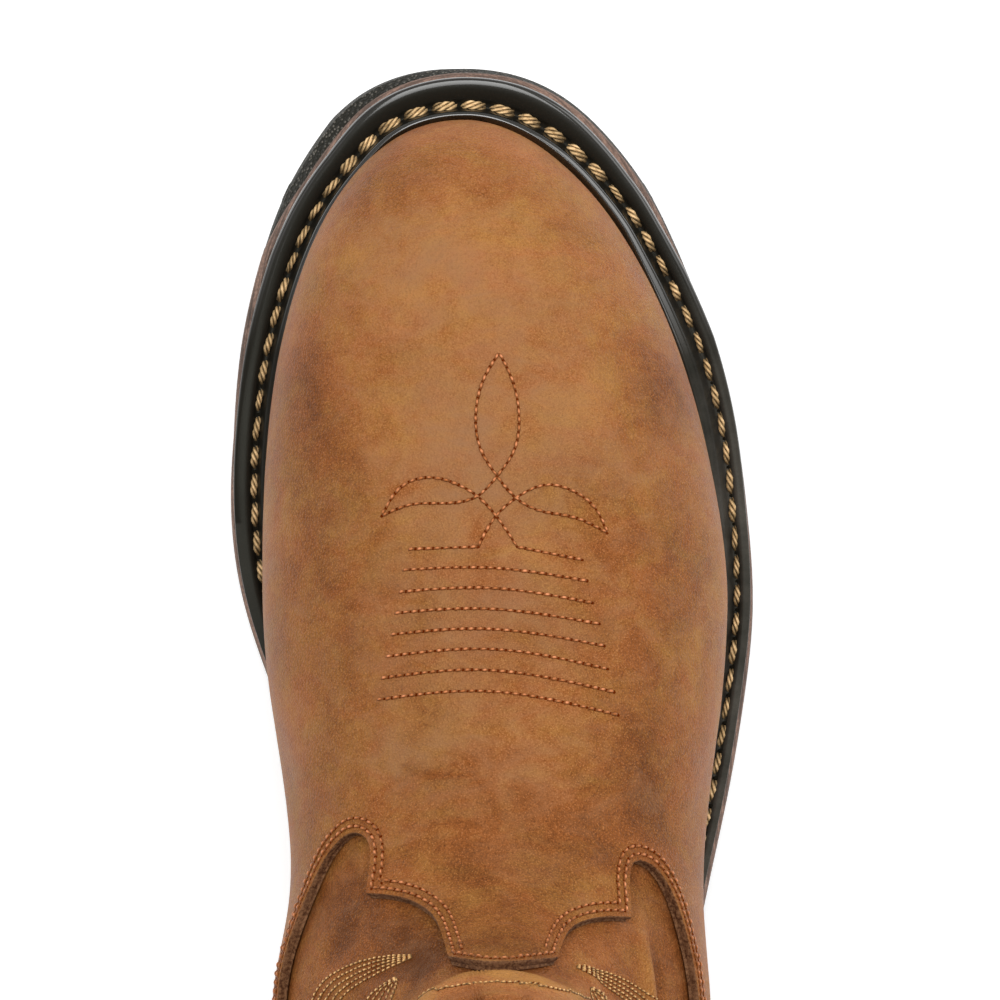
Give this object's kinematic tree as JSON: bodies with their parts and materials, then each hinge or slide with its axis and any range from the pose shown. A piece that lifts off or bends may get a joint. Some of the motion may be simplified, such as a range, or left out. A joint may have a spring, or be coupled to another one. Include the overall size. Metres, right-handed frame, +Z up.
{
  "type": "roper boot",
  "caption": "Right-foot pull-on roper boot with a round toe, a stitched storm welt, a low block heel and a scalloped vamp over a plain open shaft.",
  "frame": {"origin": "on the floor under the middle of the boot's box", "axes": "+Z up, the toe towards -Y, the inner (medial) side of the foot towards +X"},
  "size_m": [0.1136, 0.304, 0.2704],
  "materials": {
    "outsole_rubber": "black, stippled, matt",
    "heel_rubber": "black, stippled, matt",
    "midsole": "reddish brown, matt",
    "welt_rubber": "black, half gloss",
    "insole_leather": "natural, matt",
    "vamp_leather": "mottled tan-brown, waxed",
    "shaft_leather": "mottled brown, waxed"
  },
  "bodies": {
    "root": {"outsole": "outsole_rubber", "heel": "heel_rubber", "midsole": "midsole", "welt": "welt_rubber", "insole": "insole_leather", "vamp": "vamp_leather", "shaft": "shaft_leather"}
  },
  "joints": []
}
